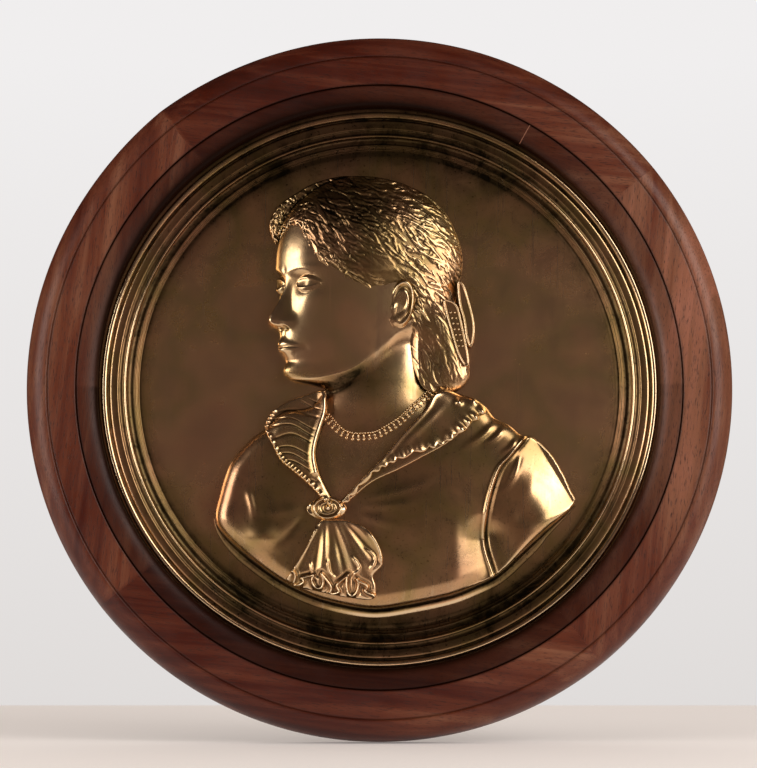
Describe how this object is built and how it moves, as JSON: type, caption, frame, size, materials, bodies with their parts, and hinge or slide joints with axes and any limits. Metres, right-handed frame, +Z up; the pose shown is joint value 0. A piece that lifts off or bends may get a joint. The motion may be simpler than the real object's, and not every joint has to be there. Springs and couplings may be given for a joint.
{
  "type": "portrait relief",
  "caption": "Round cast bronze portrait relief with a moulded rim, set in a turned mahogany frame, to hang on a wall.",
  "frame": {"origin": "on the flat back of the frame, at its top, where it hangs on the wall", "axes": "+Z up, +Y into the wall, so the relief faces -Y and +X is to the viewer's right"},
  "size_m": [0.6, 0.0401, 0.6],
  "materials": {
    "frame_wood": "oiled and waxed mahogany, worn satin",
    "bronze": "cast bronze, polished on its high places, brown patina in its hollows"
  },
  "bodies": {
    "root": {"frame_upper": "frame_wood", "frame_right": "frame_wood", "frame_lower": "frame_wood", "frame_left": "frame_wood", "medallion": "bronze"}
  },
  "joints": []
}
